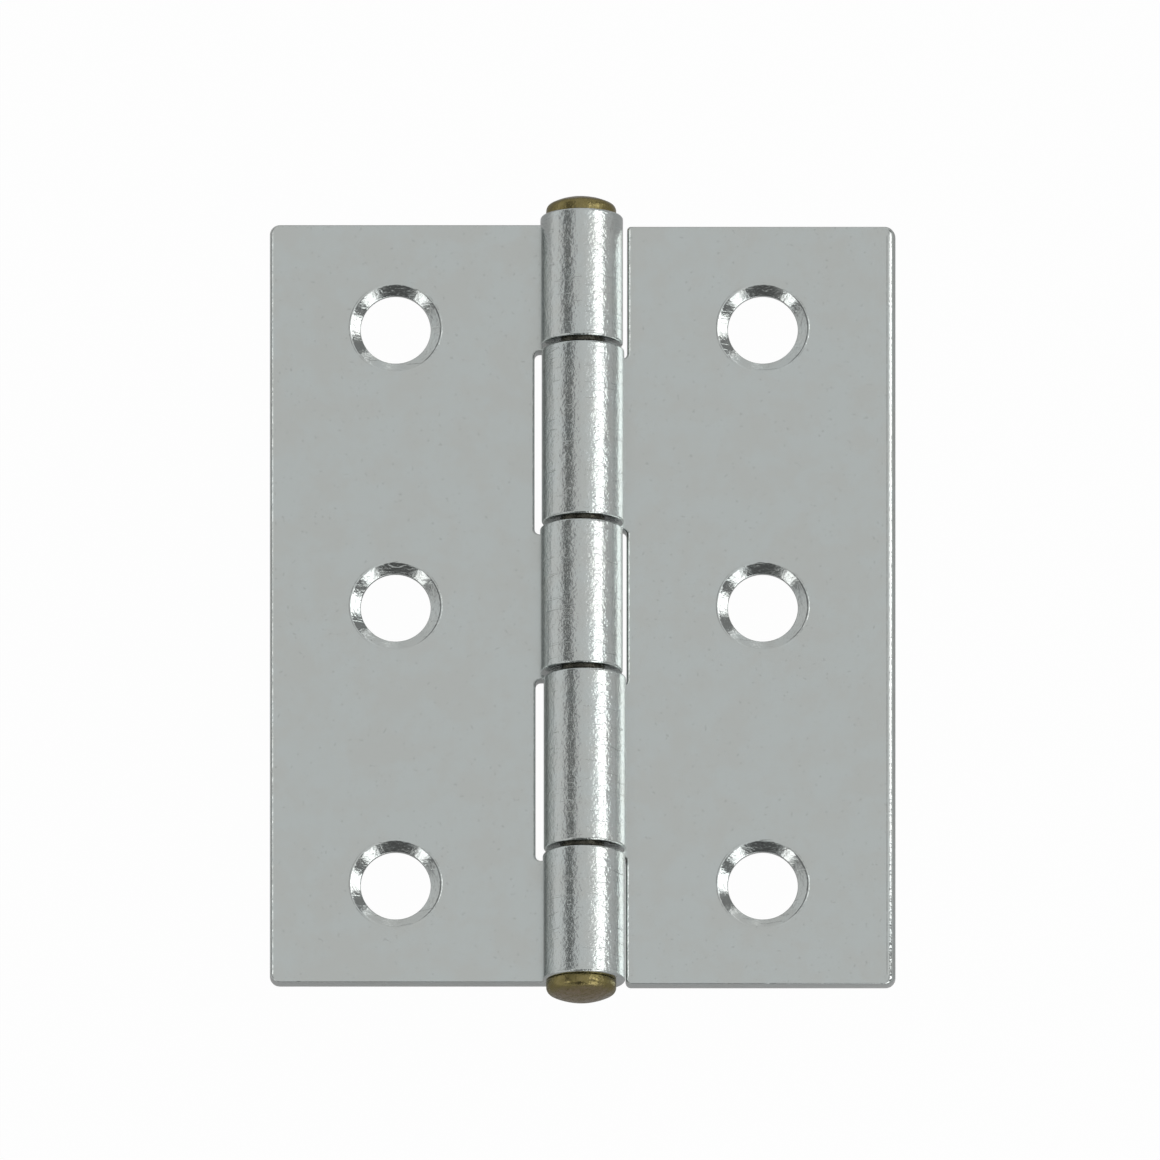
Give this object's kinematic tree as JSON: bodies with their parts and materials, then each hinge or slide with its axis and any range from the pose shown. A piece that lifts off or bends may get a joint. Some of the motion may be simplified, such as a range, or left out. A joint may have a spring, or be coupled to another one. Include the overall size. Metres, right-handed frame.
{
  "type": "butt hinge",
  "caption": "Flat butt hinge: zinc-plated leaves with countersunk screw holes and rolled knuckles that interleave on a brass pin with riveted heads.",
  "frame": {"origin": "on the leaves' back plane, under the middle of the barrel", "axes": "+X from the three-knuckle leaf to the two-knuckle leaf, +Y along the pin, +Z from the leaves' backs towards the barrel's side"},
  "size_m": [0.05, 0.0666, 0.0066],
  "materials": {
    "zinc_plated_steel": "bright zinc plating, matt on the flats and semi-gloss on the barrel",
    "pin_brass": "dull brass, slightly darkened"
  },
  "bodies": {
    "fixed_leaf": {"three_knuckle_leaf": "zinc_plated_steel", "hinge_pin": "pin_brass"},
    "swinging_leaf": {"two_knuckle_leaf": "zinc_plated_steel"}
  },
  "joints": [
    {"name": "leaf_swing", "type": "hinge", "parent": "fixed_leaf", "child": "swinging_leaf", "pos_m": [0, 0, 0.0033], "axis": [0, -1, 0], "range_deg": [-90, 180]}
  ]
}
